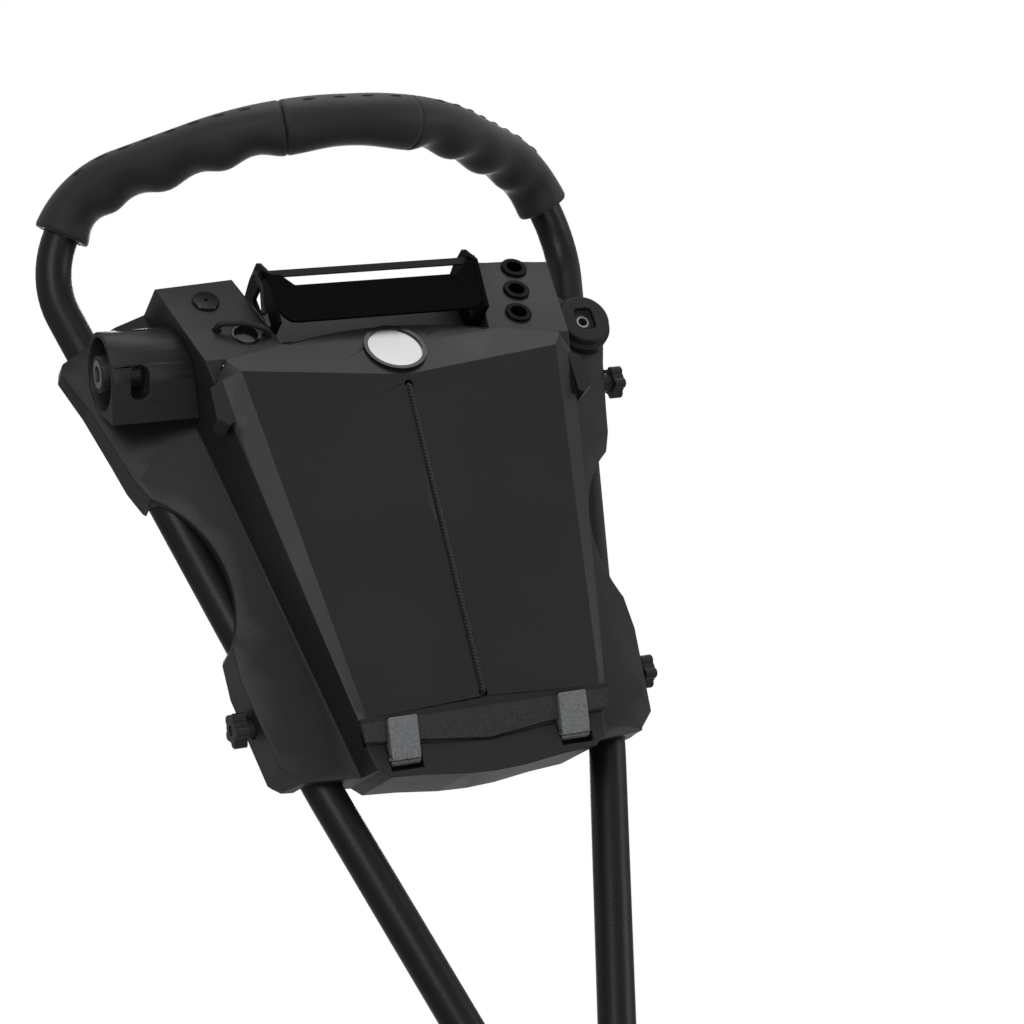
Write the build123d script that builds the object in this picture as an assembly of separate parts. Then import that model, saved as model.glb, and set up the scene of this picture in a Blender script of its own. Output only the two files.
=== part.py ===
"""Golf push-cart handle with a moulded console, lidded bin, card holder and accessory mounts.

Frame: the two tube legs and their symmetry line lie in one flat panel.  The part is modelled
with that panel upright (X to the side, Y to the back, Z up the panel), with the origin at the
centre of the crossways pivot bore, and everything is leaned back by LEAN as it is written.
"""
from build123d import *
import os
from math import cos, radians, sin, sqrt, tan

os.makedirs("parts", exist_ok=True)

# ------------------------------------------------------------------ driving dimensions (mm)
LEAN = 40.4                 # how far the handle leans back from upright, degrees
TUBE_R = 11.1               # 22.2 mm (7/8 in) tube
TUBE_WALL = 1.5
LEG_HALF = 36.6             # half spacing of the legs at the pivot bore
LEG_BEND = (91.0, 0.0, 187.0)      # gentle bend at the foot of the console
BOW_SIDE = (188.7, 8.3, 592.2)     # corner where a leg turns into the bow
BOW_FRONT = (53.0, -100.0, 577.7)  # corner where the bow turns level across
LEG_BEND_R = 300.0
BOW_SIDE_R = 58.0
BOW_FRONT_R = 130.0
LEG_END_Z = -20.0           # lower end of the tube
PIVOT_R = 4.1               # crossways pivot bore
GRIP_R = 17.2               # rubber grips
GRIP_GAP = 0.6              # seam between two grips
WALL = 3.0                  # moulded wall
BACK_Y = 13.0               # back edge of the moulding
CREASE_Y = -20.0            # valley between the bin's side wall and the flank
SOLE_Z = 170.3              # lowest point of the chin's front
SOLE_RISE = 0.194           # how the sole climbs towards the back
HINGE_Y = -38.0             # lid's hinge axis
HINGE_Z = 187.0
PIN_R = 1.5
RUN = 0.05                  # running clearance on a radius
LID_GAP = 0.4               # gap round the lid
PAD_TILT = 17.5             # lean of the two top pads, degrees from upright
KNOB_Z = {"lower": 233.0, "upper": 437.0}
CLAMPS = ((1, "lower"), (1, "upper"), (-1, "lower"))  # the barrel takes the fourth one's place
STUD_R = 3.0
LUG_X = 53.5                # centre of a hinge lug
LUG_W = 18.0
NOSE_R = 4.1
NUT_R = 4.5
TROUGH = 22.0               # depth of the card trough below the pads
TROUGH_X = 74.0
TROUGH_TOP = 488.0
TROUGH_FOOT = 67.0
TROUGH_V = 12.0
BIN_FLOOR_Z = 210.4
CHIN_Y = -40.2              # front of the block between the lugs
LIP_Z = 206.7               # crease between the lid's face and its lower lip
LIP_LOW = 190.5
LIP_GAP = 1.0               # line between the lip and the chin
NOTCH_GAP = 0.9             # each side of a lug
NOTCH_R = 6.8               # room for a lug's swing
LID_WALL = 2.6
TUBE_ROOM = 0.3             # room round the tube in the moulding
RIBS = (168, 204, 233, 262, 300, 350, 400, 437, 474, 500)
RIB = 2.4
SCREW_Z = (216.0, 300.0, 385.0, 468.0)
SCREW_R = 1.6
PANEL_T = 2.5
PIN_HALF = 13.0
TEE_SPOTS = ((105.0, 64.6), (98.4, 44.0), (91.4, 23.0))     # on the right pad, across and up
TEE_R = 5.2
TEE_WALL = 1.2
TEE_FLANGE_R = 8.4
TEE_RISE = 1.8
CAP_SPOT = (-102.6, 54.5)
CAP_NECK_R = 4.0
BALL_SPOT = (-86.9, 23.6)
BALL_R = 7.4
BALL_WALL = 1.4
ELASTIC_SPOTS = ((-103.5, 29.0), (-74.5, 21.0))
ELASTIC_R = 1.8
BARREL = (-169.7, -30.0, 455.0)      # centre of the barrel's rim
BARREL_R = 25.0
BARREL_DEPTH = 22.0
HUB_R = 11.0
INSERT_R = 8.4
INSERT_BORE_R = 5.0
WINDOWS = (-66.0, 46.0)
CUP = (160.4, -20.0, 472.0)          # centre of the cup-holder disc's face
CUP_R = 17.0
CUP_INSERT_R = 4.2
CUP_BORE_R = 3.0
MAGNET_X = 62.0
MAGNET_Z = 437.5
MAGNET_R = 3.4
MAGNET_DROP = 5.3           # magnet's face behind the pads' slope
RING_SPOT = (0.0, 0.0)
RING_R = 19.3
DISC_R = 16.8
CORD_R = 1.4
KNOB_FACE = {"lower": 121.5, "upper": 169.5}     # where a knob's collar meets the moulding
COLLAR_R = 6.2
BAND = (-66.0, 493.5)                # card band's place on the ears

PARTS = {}


def save(name, shape):
    """Lean a finished piece back and keep it for export."""
    PARTS[name] = Rot(-LEAN, 0, 0) * shape
    return shape


def rod_x(x0, x1, y, z, r):
    """Cylinder along X."""
    return Pos((x0 + x1) / 2, y, z) * Rot(0, 90, 0) * Cylinder(r, abs(x1 - x0))


# ------------------------------------------------------------------ lines that shape the console
def lid_y(z):
    """Front plane of the lid."""
    return -49.5 - 0.1307 * (z - 206.7)


def lid_x(z):
    """Half width of the lid's front plane."""
    return 75.1 + 0.1261 * (z - 206.7)


def seam_x(z):
    return 76.0 + 0.184 * (z - 206.0)


def seam_y(z):
    """Plane where lid and moulding meet."""
    return lid_y(z) + 3.0 + 0.033 * (z - 206.0)


def crease_x(z):
    return 76.0 + 0.178 * (z - 193.0)


def flank_x(z):
    return 127.0 + 0.236 * (z - 257.0)


def flank_y(z):
    return -13.0 + 0.0578 * (z - 257.0)


def leg_at(z):
    """Centre of the tube above the bend."""
    t = (z - LEG_BEND[2]) / (BOW_SIDE[2] - LEG_BEND[2])
    return (LEG_BEND[0] + t * (BOW_SIDE[0] - LEG_BEND[0]), t * BOW_SIDE[1])


def pad_y(z):
    return -70.0 + tan(radians(PAD_TILT)) * (z - 433.0)


# face of the two pads: local x across, local y up the slope, local z out of the face
PAD = Plane(origin=(0, -70.0, 433.0), x_dir=(1, 0, 0),
            z_dir=(0, -cos(radians(PAD_TILT)), sin(radians(PAD_TILT))))


def section(points, z):
    return Pos(0, 0, z) * make_face(Polyline(*points, close=True))


def ruled(outline, z0, z1):
    """Solid between two outlines at two heights; outline(z) gives the points."""
    return loft([section(outline(z0), z0), section(outline(z1), z1)], ruled=True)


def front_prism(face, y0=-160.0, y1=60.0):
    """Extrude an outline drawn in X and Z along Y."""
    placed = Plane(origin=(0, y1, 0), x_dir=(1, 0, 0), z_dir=(0, -1, 0)) * face
    return extrude(placed, amount=y1 - y0, dir=(0, -1, 0))


# ------------------------------------------------------------------ tube, plugs and grips
def bow_points():
    foot = (LEG_HALF + LEG_END_Z * (LEG_BEND[0] - LEG_HALF) / LEG_BEND[2], 0.0, LEG_END_Z)
    right = [foot, LEG_BEND, BOW_SIDE, BOW_FRONT]
    left = [(-x, y, z) for x, y, z in reversed(right)]
    return right + left


def bow_wire():
    radii = [LEG_BEND_R, BOW_SIDE_R, BOW_FRONT_R, BOW_FRONT_R, BOW_SIDE_R, LEG_BEND_R]
    return FilletPolyline(*bow_points(), radius=radii)


def swept(path, r):
    start = Plane(origin=path @ 0, z_dir=path % 0)
    return sweep(start * Circle(r), path=path, transition=Transition.ROUND)


BOW = bow_wire()
LENGTH = BOW.length


def tube_and_plugs():
    outer = swept(BOW, TUBE_R)
    inner = swept(BOW, TUBE_R - TUBE_WALL)
    tube = outer - inner
    bore = rod_x(-90, 90, 0, 0, PIVOT_R)
    tube = tube - bore
    for side, level in CLAMPS:
        x, y = leg_at(KNOB_Z[level])
        tube = tube - rod_x(side * x, side * (x + 20), y, KNOB_Z[level], NUT_R)
    save("handle_tube", tube)
    foot = BOW_PLANE
    slug = foot * Pos(0, 0, 22) * Cylinder(TUBE_R - TUBE_WALL, 44)
    rim = Cylinder(TUBE_R, 4)
    rim = chamfer(rim.edges().group_by(Axis.Z)[0], 1.5)
    plug = slug + foot * Pos(0, 0, -2) * rim - bore
    save("leg_plug_right", plug)
    save("leg_plug_left", mirror(plug, about=Plane.YZ))


BOW_PLANE = Plane(origin=BOW @ 0, z_dir=BOW % 0)
GRIP_END = 0.0
for step in range(400):
    spot = BOW @ (0.2 + step * 0.0005)
    if spot.Z > 560 and spot.X < 165.0:
        GRIP_END = 0.2 + step * 0.0005
        break
MIDDLE_HALF = 41.0


def grip_between(u0, u1, scallops):
    """Rubber sleeve between two places on the bow, with finger hollows on its lower side."""
    piece = BOW.trim(u0, u1)
    sleeve = swept(piece, GRIP_R) - swept(piece, TUBE_R + RUN)
    for u, ball, depth in scallops:
        at = BOW @ u
        along = (BOW % u)
        down = Vector(0, 0.25, -0.97)
        down = (down - along * down.dot(along)).normalized()
        centre = at + down * (GRIP_R - depth + ball)
        sleeve = sleeve - Pos(centre.X, centre.Y, centre.Z) * Sphere(ball)
    return sleeve


def grips():
    half_gap = GRIP_GAP / 2
    seam = 0.5 - MIDDLE_HALF / LENGTH
    gap = half_gap / LENGTH
    fingers = [(GRIP_END + (seam - GRIP_END) * f, 17.0, 3.2) for f in (0.16, 0.38, 0.6, 0.82)]
    right = grip_between(GRIP_END, seam - gap, fingers)
    save("grip_right", right)
    save("grip_left", mirror(right, about=Plane.YZ))
    save("grip_middle", grip_between(seam + gap, 1 - seam - gap, [(0.5, 150.0, 2.6)]))


# ------------------------------------------------------------------ moulding: outlines and solids
def mirrored_face(points, arc_from=None, arc_mid=None):
    """Face in X and Z from its right-hand outline; one stretch may be an arc."""
    with BuildSketch() as sk:
        with BuildLine():
            for sign in (1, -1):
                run = [(sign * x, z) for x, z in points]
                if arc_from is None:
                    Polyline(*run)
                else:
                    Polyline(*run[:arc_from + 1])
                    ThreePointArc(run[arc_from], (sign * arc_mid[0], arc_mid[1]), run[arc_from + 1])
                    Polyline(*run[arc_from + 1:])
        make_face()
    return sk.sketch


def console_face():
    """Front outline: V-shaped chin, foot, waist that shows the tube, shoulders and top."""
    foot = [(0, 150), (100, 150), (109, 190.5), (119, 200.5), (124.5, 236), (127.5, 256), (127, 278)]
    top = [(151, 381), (158, 396), (163, 414), (173, 448), (183, 474), (181, 481), (148, 496)]
    top = top + [(131, 499), (78, 503), (TROUGH_X, TROUGH_TOP), (0, TROUGH_TOP)]
    return mirrored_face(foot + top, arc_from=len(foot) - 1, arc_mid=(119.5, 326))


def sole_prism(lift=0.0):
    """Everything above the sole, whose V-shaped front line climbs towards the back."""
    line = [(0, SOLE_Z), (18, SOLE_Z + 0.8), (43, 174.2), (64.5, 175.8), (70, 181.0), (112, 184.5),
            (125, 194), (190, 230), (190, 600), (0, 600)]
    face = mirrored_face([(x, z + lift) for x, z in line])
    start = Plane(origin=(0, CHIN_Y - 100, -100 * SOLE_RISE), x_dir=(1, 0, 0), z_dir=(0, -1, 0)) * face
    return Solid.extrude(start.faces()[0], Vector(0, 240, 240 * SOLE_RISE))


def mirrored_outline(half):
    return half + [(-x, y) for x, y in reversed(half)]


def core_outline(z):
    """Box of the bin: front on the seam plane, sides to the valley and on to the back."""
    return mirrored_outline([(seam_x(z), seam_y(z)), (crease_x(z), CREASE_Y), (crease_x(z), BACK_Y)])


def bin_outline(z):
    """Room between the bin's side walls, open to the front and the back."""
    side = [(seam_x(z) - WALL, -140), (seam_x(z) - WALL, seam_y(z)), (crease_x(z) - WALL, CREASE_Y)]
    return mirrored_outline(side + [(crease_x(z) - WALL, 60)])


def wing_outline(z):
    """Flank that slopes back from the valley over the tube."""
    slope = (flank_y(z) - CREASE_Y) / (flank_x(z) - crease_x(z))
    edge = (flank_x(z) + 12.0, flank_y(z) + 12.0 * slope)
    root = crease_x(z) - 8.0
    return [(root, CREASE_Y), (crease_x(z), CREASE_Y), edge, (edge[0], BACK_Y), (root, BACK_Y)]


def wing_room(z):
    """Hollow under the flank."""
    slope = (flank_y(z) - CREASE_Y) / (flank_x(z) - crease_x(z))
    drop = WALL * 1.1
    edge = (flank_x(z) + 12.0, flank_y(z) + 12.0 * slope + drop)
    return [(crease_x(z) + WALL, CREASE_Y + drop), edge, (edge[0], 60), (crease_x(z) + WALL, 60)]


def bin_face(grow=0.0):
    """Mouth of the bin seen from the front, with its arched top."""
    z0 = BIN_FLOOR_Z - grow
    z1 = 424.0 + grow
    x0 = seam_x(z0) - 4.0 + grow
    x1 = seam_x(z1) - 7.0 + grow
    with BuildSketch() as sk:
        with BuildLine():
            Polyline((-x1, z1), (-x0, z0), (x0, z0), (x1, z1))
            ThreePointArc((x1, z1), (0, 440.0 + grow), (-x1, z1))
        make_face()
    return sk.sketch


def in_front_of(plane, shift=0.0):
    """Everything ahead of a plane, moved out along its normal by shift."""
    moved = Plane(origin=plane.origin + plane.z_dir * shift, x_dir=plane.x_dir, z_dir=plane.z_dir)
    return extrude(moved * Rectangle(600, 600), amount=250)


def behind(plane, shift=0.0):
    moved = Plane(origin=plane.origin + plane.z_dir * shift, x_dir=plane.x_dir, z_dir=plane.z_dir)
    return extrude(moved * Rectangle(600, 600), amount=-250)


def slab(x0, x1, y0, y1, z0, z1):
    return Pos((x0 + x1) / 2, (y0 + y1) / 2, (z0 + z1) / 2) * Box(abs(x1 - x0), abs(y1 - y0), abs(z1 - z0))


def trough_solid(depth, grow=0.0):
    """Space between the two pads, above the lid's arched edge."""
    edge = [(TROUGH_FOOT + grow, TROUGH_V - grow), (TROUGH_FOOT + 18 + grow, 95)]
    with BuildSketch() as sk:
        with BuildLine():
            Polyline((-edge[0][0], edge[0][1]), (-edge[1][0], edge[1][1]), (edge[1][0], edge[1][1]), edge[0])
            ThreePointArc(edge[0], (0, TROUGH_V + 9 - grow), (-edge[0][0], edge[0][1]))
        make_face()
    low = Plane(origin=PAD.origin - PAD.z_dir * depth, x_dir=PAD.x_dir, z_dir=PAD.z_dir)
    return extrude(low * sk.sketch, amount=depth + 60)


def leg_centre(z):
    if z < LEG_BEND[2]:
        return (LEG_HALF + z * (LEG_BEND[0] - LEG_HALF) / LEG_BEND[2], 0.0)
    return leg_at(z)


def tube_channel(side):
    """Room for one leg: round in front, and as wide as the tube from there out of the back."""
    path = Polyline(*[(side * x, y, z) for x, y, z in (bow_points()[0], LEG_BEND, BOW_SIDE)])
    room = swept(path, TUBE_R + TUBE_ROOM)
    width = (TUBE_R + TUBE_ROOM) / cos(radians(14))

    def slot(z):
        x, y = leg_centre(z)
        near, far = side * (x - width), side * (x + width)
        return [(near, y), (far, y), (far, 40), (near, 40)]
    return [room, ruled(slot, 150.0, LEG_BEND[2]), ruled(slot, LEG_BEND[2], 530.0)]


def console_blank():
    """Moulding before it is hollowed."""
    wing = ruled(wing_outline, 150, 530)
    blank = ruled(core_outline, 150, 530) + wing + mirror(wing, about=Plane.YZ)
    blank = blank & front_prism(console_face()) & sole_prism()
    blank = blank - in_front_of(PAD)
    # the lid's arched edge lies on a step in the pads' slope
    blank = blank - (front_prism(lid_face(grow=LID_GAP)) & in_front_of(PAD, -LID_WALL - LID_GAP))
    # chin: front face, room behind the lid's lower lip, and the notches of the lugs
    blank = blank - slab(-200, 200, -140, CHIN_Y, 150, 196)
    top = [(0, LIP_LOW - LIP_GAP), (41, 194.5 - LIP_GAP), (77.5, 197 - LIP_GAP),
           (77.5, LIP_Z + 1), (0, LIP_Z + 1)]
    blank = blank - (front_prism(mirrored_face(top)) & in_front_of(LIP, -LID_WALL - LID_GAP))
    for side in (1, -1):
        notch = (side * (LUG_X - LUG_W / 2 - NOTCH_GAP), side * (LUG_X + LUG_W / 2 + NOTCH_GAP))
        blank = blank - slab(notch[0], notch[1], -140, HINGE_Y + NOTCH_R, HINGE_Z - NOTCH_R - 1, LIP_Z + 1)
    return blank


def hollowed(blank):
    inner = front_prism(offset(console_face(), amount=-WALL)) & sole_prism(WALL)
    room = ruled(wing_room, 150, 530) & inner
    body = blank
    for low, high in zip(RIBS[:-1], RIBS[1:]):
        cell = room & slab(0, 300, -100, 100, low + RIB / 2, high - RIB / 2)
        body = body - cell - mirror(cell, about=Plane.YZ)
    body = body - (front_prism(bin_face()) & ruled(bin_outline, 150, 530))
    upper = ruled(bin_outline, 150, 530) & inner & slab(-200, 200, -140, 60, 430, 540)
    upper = upper - front_prism(bin_face(grow=WALL))
    upper = upper & behind(PAD, -WALL)
    upper = upper - trough_solid(TROUGH + WALL, grow=WALL)
    body = body - upper - trough_solid(TROUGH)
    chin = ruled(bin_outline, 150, 530) & inner & slab(-200, 200, CHIN_Y + 9, 60, 150, BIN_FLOOR_Z - WALL)
    body = body - chin
    for side in (1, -1):
        body = body + magnet_boss(side)
        for z in SCREW_Z:
            body = body + rod_y(side * (crease_x(z) + 1.0), z, 0.0, BACK_Y, 3.6)
        for item in tube_channel(side):
            body = body - item
    return body


def magnet_boss(side):
    y = pad_y(MAGNET_Z) + MAGNET_DROP
    return rod_y(side * MAGNET_X, MAGNET_Z, y, y + 9.0, MAGNET_R + 1.8)


def magnet(side):
    y = pad_y(MAGNET_Z) + MAGNET_DROP
    return rod_y(side * MAGNET_X, MAGNET_Z, y, y + 5.0, MAGNET_R)


def rod_y(x, z, y0, y1, r):
    """Cylinder along Y."""
    return Pos(x, (y0 + y1) / 2, z) * Rot(90, 0, 0) * Cylinder(r, abs(y1 - y0))


def on_pad(spot, lift=0.0):
    """Place on the pads' face, with Z out of the face."""
    return PAD * Pos(spot[0], spot[1], lift)


def bored(body):
    for spot in TEE_SPOTS:
        body = body - on_pad(spot) * Cylinder(TEE_R + TEE_WALL, 40)
    body = body - on_pad(CAP_SPOT) * Cylinder(CAP_NECK_R, 40)
    body = body - on_pad(BALL_SPOT) * Cylinder(BALL_R + BALL_WALL, 40)
    for spot in ELASTIC_SPOTS:
        body = body - on_pad(spot) * Cylinder(ELASTIC_R + 0.7, 40)
    for side, level in CLAMPS:
        z = KNOB_Z[level]
        x, y = leg_at(z)
        face = KNOB_FACE[level]
        body = body - rod_x(side * (x + 8), side * (x + 40), y, z, STUD_R + 0.5)
        body = body - rod_x(side * face, side * (face + 20), y, z, COLLAR_R + 0.6)
    for side in (1, -1):
        body = body - magnet(side)
        body = body - rod_x(side * (LUG_X - PIN_HALF), side * (LUG_X + PIN_HALF), HINGE_Y, HINGE_Z, PIN_R)
        for z in SCREW_Z:
            body = body - rod_y(side * (crease_x(z) + 1.0), z, BACK_Y - 9.0, BACK_Y + 1, SCREW_R)
    return body


# ------------------------------------------------------------------ lid
LIP = Plane(origin=(0, -49.5, 206.7), x_dir=(1, 0, 0), z_dir=(0, -0.891, -0.454))


def lid_face(grow=0.0):
    """Lid seen from the front: V-shaped lip, cut corners and an arched top edge."""
    right = [(0, LIP_LOW - grow), (41, 194.5 - grow), (76 + grow, 197 - grow), (117.5 + grow, 419)]
    right.append((107.5 + grow, 433 + grow))
    right.append((66, 443.3 + grow))
    with BuildSketch() as sk:
        with BuildLine():
            Polyline(*right)
            Polyline(*[(-x, z) for x, z in right])
            ThreePointArc(right[-1], (0, 452 + grow), (-right[-1][0], right[-1][1]))
        make_face()
    return sk.sketch


def lid_outline(z):
    return mirrored_outline([(lid_x(z), lid_y(z)), (seam_x(z), seam_y(z) - LID_GAP)])


def lid_room(z):
    side = [(lid_x(z) - 1.2, lid_y(z) + LID_WALL), (seam_x(z) - LID_WALL, seam_y(z) + 0.2)]
    return mirrored_outline(side + [(seam_x(z) - LID_WALL, seam_y(z) + 6.0)])


def top_facet(side):
    """Slope on one side of the lid's top, a little proud of the pads at its outer end."""
    peak = Vector(0, -76.4, 411.0)
    across = Vector(side * 102.3, -77.7, 422.4) - peak
    up = Vector(0, -64.2, 451.4) - peak
    normal = across.cross(up) * side
    return Plane(origin=peak, x_dir=across, z_dir=normal)


def lid_shell():
    lid = ruled(lid_outline, 150, 530) & front_prism(lid_face())
    # arched edge behind the pads' slope, and the lower lip
    outer = front_prism(lid_face())
    arch = outer & behind(PAD) & in_front_of(PAD, -LID_WALL) & slab(-90, 90, -140, 0, 431, 460)
    lip = outer & behind(LIP) & in_front_of(LIP, -LID_WALL) & slab(-90, 90, -140, 0, 180, 209)
    lid = lid - in_front_of(LIP)
    for side in (1, -1):
        lid = lid - (in_front_of(top_facet(side)) & slab(0, side * 200, -200, 0, 380, 500))
    room = ruled(lid_room, 206, 530) & front_prism(offset(lid_face(), amount=-LID_WALL))
    room = room & slab(-200, 200, -140, 0, 210.6, 440) & behind(PAD, -LID_WALL)
    lid = (lid - room) + arch + lip
    for side in (1, -1):
        lid = lid + finger_tab(side)
        lid = lid - lug_block(side) - striker(side)
    for item in cord_room():
        lid = lid - item
    lid = lid - on_pad(RING_SPOT, -0.2) * Cylinder(RING_R, 2.4)
    return lid


def finger_tab(side):
    """Wedge on the lid's edge that hangs over the bin's side wall."""
    with BuildSketch() as sk:
        with BuildLine():
            Polyline((113, 421), (120.5, 417), (121, 397), (114.5, 392), (111, 394), (112, 421), close=True)
        make_face()
    block = front_prism(sk.sketch, y0=-70.5, y1=-56.0)
    ahead = ruled(lambda z: [(seam_x(z) + LID_GAP, -50), (seam_x(z) + LID_GAP, seam_y(z) - LID_GAP),
                             (60, seam_y(z) - LID_GAP), (60, -100), (140, -100), (140, -50)], 380, 430)
    block = block & ahead
    return block if side > 0 else mirror(block, about=Plane.YZ)


def lug_block(side):
    """Hook-shaped lug on the lid's lower edge, with a round nose about the pin."""
    profile = [(-52.6, 206.9), (-44.0, 188.6), (-41.9, 184.6), (-38.0, 187.0),
               (-33.9, 187.0), (-36.5, 199.0), (-45.0, 206.9)]
    plane = Plane(origin=(0, 0, 0), x_dir=(0, 1, 0), z_dir=(1, 0, 0))
    block = extrude(plane * make_face(Polyline(*profile, close=True)), amount=LUG_W)
    block = Pos(LUG_X - LUG_W / 2, 0, 0) * block
    block = block + rod_x(LUG_X - LUG_W / 2, LUG_X + LUG_W / 2, HINGE_Y, HINGE_Z, NOSE_R)
    return block if side > 0 else mirror(block, about=Plane.YZ)


def hinge_lug(side):
    return lug_block(side) - rod_x(side * (LUG_X - 12), side * (LUG_X + 12), HINGE_Y, HINGE_Z, PIN_R + RUN)


CORD_TOP = 406.0
CORD_FOOT = 215.0


def cord_path():
    top = lid_y(CORD_TOP)
    foot = lid_y(CORD_FOOT)
    deep = 5.4
    seat = 0.3
    points = [(0, top + deep, CORD_TOP), (0, top + seat, CORD_TOP)]
    points = points + [(0, foot + seat, CORD_FOOT), (0, foot + deep, CORD_FOOT)]
    return FilletPolyline(*points, radius=[CORD_R * 1.6, CORD_R * 1.6])


def cord_room():
    """Groove down the lid's middle with a hole at each end."""
    half = CORD_R + 0.3

    def slot(z):
        return [(-half, -90), (half, -90), (half, lid_y(z) + 1.9), (-half, lid_y(z) + 1.9)]
    groove = ruled(slot, CORD_FOOT, CORD_TOP)
    ends = [rod_y(0, z, lid_y(z) - 5, lid_y(z) + 12, 2.6) for z in (CORD_TOP, CORD_FOOT)]
    return [groove] + ends


def lid_cord():
    cord = swept(cord_path(), CORD_R)
    knots = [Pos(0, lid_y(z) + 6.4, z) * Sphere(2.7) for z in (CORD_TOP, CORD_FOOT)]
    return cord + knots[0] + knots[1]


def striker(side):
    """Steel plate inside the lid that the magnet pulls on."""
    y = pad_y(MAGNET_Z) + LID_WALL
    face = Plane(origin=(side * MAGNET_X, y, MAGNET_Z), x_dir=(1, 0, 0), z_dir=PAD.z_dir)
    return face * Pos(0, 0, 0.1) * Cylinder(4.5, 1.0)


# ------------------------------------------------------------------ card holder, elastics, pad fittings
def ear_plate(side):
    profile = [(-40.2, 455), (-26.6, 498.5), (-47.0, 502.5), (-64.5, 503.0),
               (-66.5, 501.5), (-77.0, 488.0), (-72.5, 456.0)]
    plane = Plane(origin=(0, 0, 0), x_dir=(0, 1, 0), z_dir=(1, 0, 0))
    plate = extrude(plane * make_face(Polyline(*profile, close=True)), amount=2.6)
    plate = Pos(66.4, 0, 0) * plate
    hole = Polyline((-60, 462), (-50, 462), (-44, 490), (-58, 490), close=True)
    window = extrude(plane * make_face(hole), amount=20)
    plate = plate - Pos(60, 0, 0) * window - Pos(67.7, BAND[0], BAND[1]) * Box(8, 1.8, 5.2)
    return plate if side > 0 else mirror(plate, about=Plane.YZ)


def tray_outline(z):
    front = tray_y(z)
    return [(-80, front), (80, front), (80, front + 2.4), (-80, front + 2.4)]


def scorecard_tray():
    with BuildSketch() as sk:
        with BuildLine():
            Polyline((-66.4, 488), (-66.4, 456), (66.4, 456), (66.4, 488),
                     (61, 488), (53, 480), (-53, 480), (-61, 488), close=True)
        make_face()
    face = fillet(sk.sketch.vertices().group_by(Axis.Y)[0], 11)
    plate = ruled(tray_outline, 450, 495)
    tray = plate & front_prism(face)
    tray = tray + ear_plate(1) + ear_plate(-1)
    # foot that ties the two ears along the trough's floor
    foot = on_pad((0, 32), -TROUGH + 1.3) * Box(2 * 66.4, 6, 2.6)
    return tray + foot


def tray_y(z):
    """Front face of the card plate."""
    return -72.5 - (z - 456.0) * 0.09


def scorecard_band():
    strip = Pos(0, *BAND) * Box(2 * 71.0, 1.4, 4.6)
    stop = Pos(71.2, *BAND) * Box(2.4, 3.4, 6.0)
    tail = [(-71.6, *BAND), (-72.2, -71.0, 482.0), (-73.4, -66.0, 468.0)]
    cord = swept(Polyline(*tail), 1.5)
    cord = cord + Pos(*tail[0]) * Sphere(2.4) + Pos(*tail[2]) * Sphere(2.2)
    return strip + stop + cord


def ball_elastic():
    """Elastic arch over the ball hole, its ends pushed into two holes of the pad."""
    a, b = [on_pad(spot, -6.0).position for spot in ELASTIC_SPOTS]
    out = PAD.z_dir
    points = [a, a + out * 11.0, (a + b) * 0.5 + out * 14.0, b + out * 11.0, b]
    path = FilletPolyline(*[tuple(p) for p in points], radius=[4.5, 20.0, 4.5])
    loop = swept(path, ELASTIC_R)
    knots = [Pos(*tuple(p)) * Sphere(2.4) for p in (a - out * 0.4, b - out * 0.4)]
    return loop + knots[0] + knots[1]


def tee_ring(spot):
    ring = on_pad(spot, TEE_RISE / 2) * Cylinder(TEE_FLANGE_R, TEE_RISE)
    ring = chamfer(ring.edges().filter_by(GeomType.CIRCLE), 0.5)
    ring = ring + on_pad(spot, -4.0) * Cylinder(TEE_R + TEE_WALL, 8)
    return ring - on_pad(spot) * Cylinder(TEE_R, 40)


def ball_cup():
    cup = on_pad(BALL_SPOT, -4.0) * Cylinder(BALL_R + BALL_WALL, 8.4)
    return cup - on_pad(BALL_SPOT, 2.6) * Cylinder(BALL_R, 12)


def pin_cap():
    cap = on_pad(CAP_SPOT, 0.9) * Cylinder(8.2, 1.8)
    cap = chamfer(cap.edges().filter_by(GeomType.CIRCLE), 0.6)
    cap = cap + on_pad(CAP_SPOT, -2.5) * Cylinder(CAP_NECK_R, 5)
    return cap - on_pad(CAP_SPOT, 2) * Cylinder(1.1, 6)


# ------------------------------------------------------------------ umbrella barrel and cup-holder mount
def barrel_block():
    """Bar along X with a square corner at its foot, from the rim to the bin's wall."""
    x, y, z = BARREL
    d = BARREL_R / sqrt(2)
    with BuildSketch() as sk:
        Circle(BARREL_R)
        with BuildLine():
            Polyline((-d, -d), (0, -2 * d), (d, -d), (0, 0), close=True)
        make_face()
    face = Plane(origin=(x, y, z), x_dir=(0, 1, 0), z_dir=(1, 0, 0)) * sk.sketch
    return extrude(face, amount=60)


def umbrella_socket(blank):
    x, y, z = BARREL
    body = barrel_block() - blank
    body = body.solids().sort_by(SortBy.VOLUME)[-1]
    body = body - rod_x(x - 1, x + BARREL_DEPTH, y, z, BARREL_R - 3.2)
    hub = rod_x(x - 1.5, x + BARREL_DEPTH, y, z, HUB_R) - rod_x(x - 2, x + BARREL_DEPTH + 4, y, z, INSERT_R)
    body = body + hub
    body = body - rod_x(x + BARREL_DEPTH - 1, x + BARREL_DEPTH + 4, y, z, INSERT_R)
    window = fillet(Box(11, 16, 20).edges().filter_by(Axis.Y), 4.5)
    for turn in WINDOWS:
        body = body - Pos(x + 17, y, z) * Rot(turn, 0, 0) * Pos(0, -BARREL_R, 0) * window
    return body


def umbrella_insert():
    x, y, z = BARREL
    bush = rod_x(x - 1.5, x + BARREL_DEPTH + 4, y, z, INSERT_R)
    return bush - rod_x(x - 5, x + BARREL_DEPTH + 6, y, z, INSERT_BORE_R)


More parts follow.
